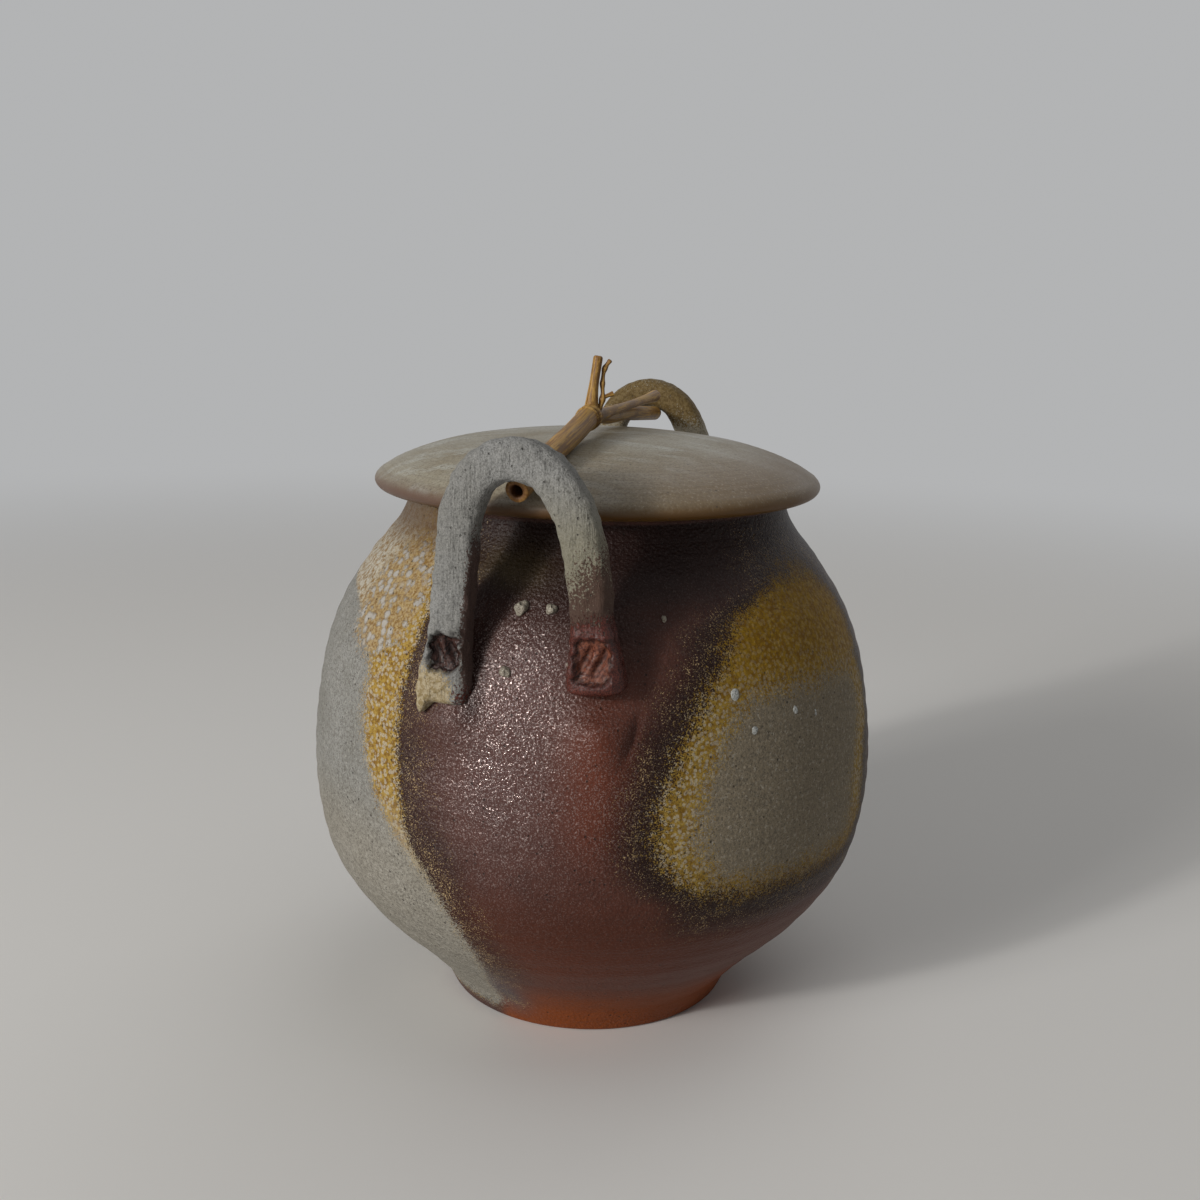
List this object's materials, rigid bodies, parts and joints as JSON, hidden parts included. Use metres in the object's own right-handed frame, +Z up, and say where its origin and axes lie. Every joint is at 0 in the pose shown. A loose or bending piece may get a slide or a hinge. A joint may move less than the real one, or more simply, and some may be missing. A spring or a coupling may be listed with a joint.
{
  "type": "lidded pottery jar",
  "caption": "Round-bellied wood-fired stoneware jar with a domed lid, arched shoulder lugs, and a bamboo stick laid over the lid and tucked under the lugs to hold it down.",
  "frame": {"origin": "centre of the foot ring's underside, on the surface the jar stands on", "axes": "+Z up along the jar's axis; the front lug stands on -Y and the bamboo stick runs along Y over the lid"},
  "size_m": [0.17, 0.17, 0.196],
  "materials": {
    "jar_clay": "wood-fired ash surface, dark red-brown to grey-green, satin",
    "front_lug_clay": "grainy dry grey ash",
    "rear_lug_clay": "smooth olive-grey ash",
    "lid_clay": "olive-tan ash, satin",
    "bamboo": "dry tan bamboo"
  },
  "bodies": {
    "jar": {"jar_body": "jar_clay", "front_lug": "front_lug_clay", "rear_lug": "rear_lug_clay"},
    "lid": {"lid": "lid_clay"},
    "stick": {"bamboo_stick": "bamboo"}
  },
  "joints": [
    {"name": "lid_turn", "type": "hinge", "parent": "jar", "child": "lid", "pos_m": [0, 0, 0.1559], "axis": [0, 0, 1], "continuous": true},
    {"name": "stick_slide", "type": "slide", "parent": "jar", "child": "stick", "axis": [0, -0.9781, -0.2079], "range_m": [0, 0.004]}
  ]
}
